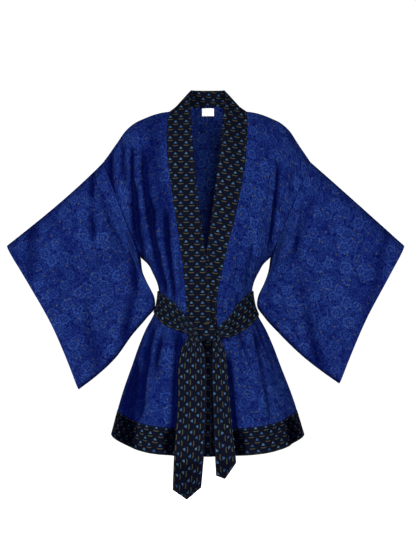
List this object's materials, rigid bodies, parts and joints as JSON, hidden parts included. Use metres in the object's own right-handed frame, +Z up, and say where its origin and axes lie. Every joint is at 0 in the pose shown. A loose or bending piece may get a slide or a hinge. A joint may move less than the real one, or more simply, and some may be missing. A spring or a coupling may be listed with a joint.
{
  "type": "kimono robe",
  "caption": "Short kimono robe in blue tone-on-tone floral print, wide sleeves, dark dotted neckband and hem, and a dark belt tied in front.",
  "frame": {"origin": "at the neck, on the line of the shoulders, midway between the two sides of the neck", "axes": "+Z up, the robe's front faces -Y, +X towards the robe's own left side"},
  "size_m": [0.9486, 0.3015, 0.9649],
  "materials": {
    "blue_print_cloth": "matt printed weave",
    "dark_trim_cloth": "matt printed weave",
    "label_cloth": "matt"
  },
  "bodies": {
    "root": {"back": "blue_print_cloth", "neck_label": "label_cloth", "neckband": "dark_trim_cloth", "hem_band_back": "dark_trim_cloth", "front_right": "blue_print_cloth", "sleeve_right": "blue_print_cloth", "hem_band_right": "dark_trim_cloth", "front_left": "blue_print_cloth", "sleeve_left": "blue_print_cloth", "hem_band_left": "dark_trim_cloth", "belt_wrap": "dark_trim_cloth", "belt_knot": "dark_trim_cloth", "belt_tail_right": "dark_trim_cloth", "belt_tail_left": "dark_trim_cloth"}
  },
  "joints": []
}
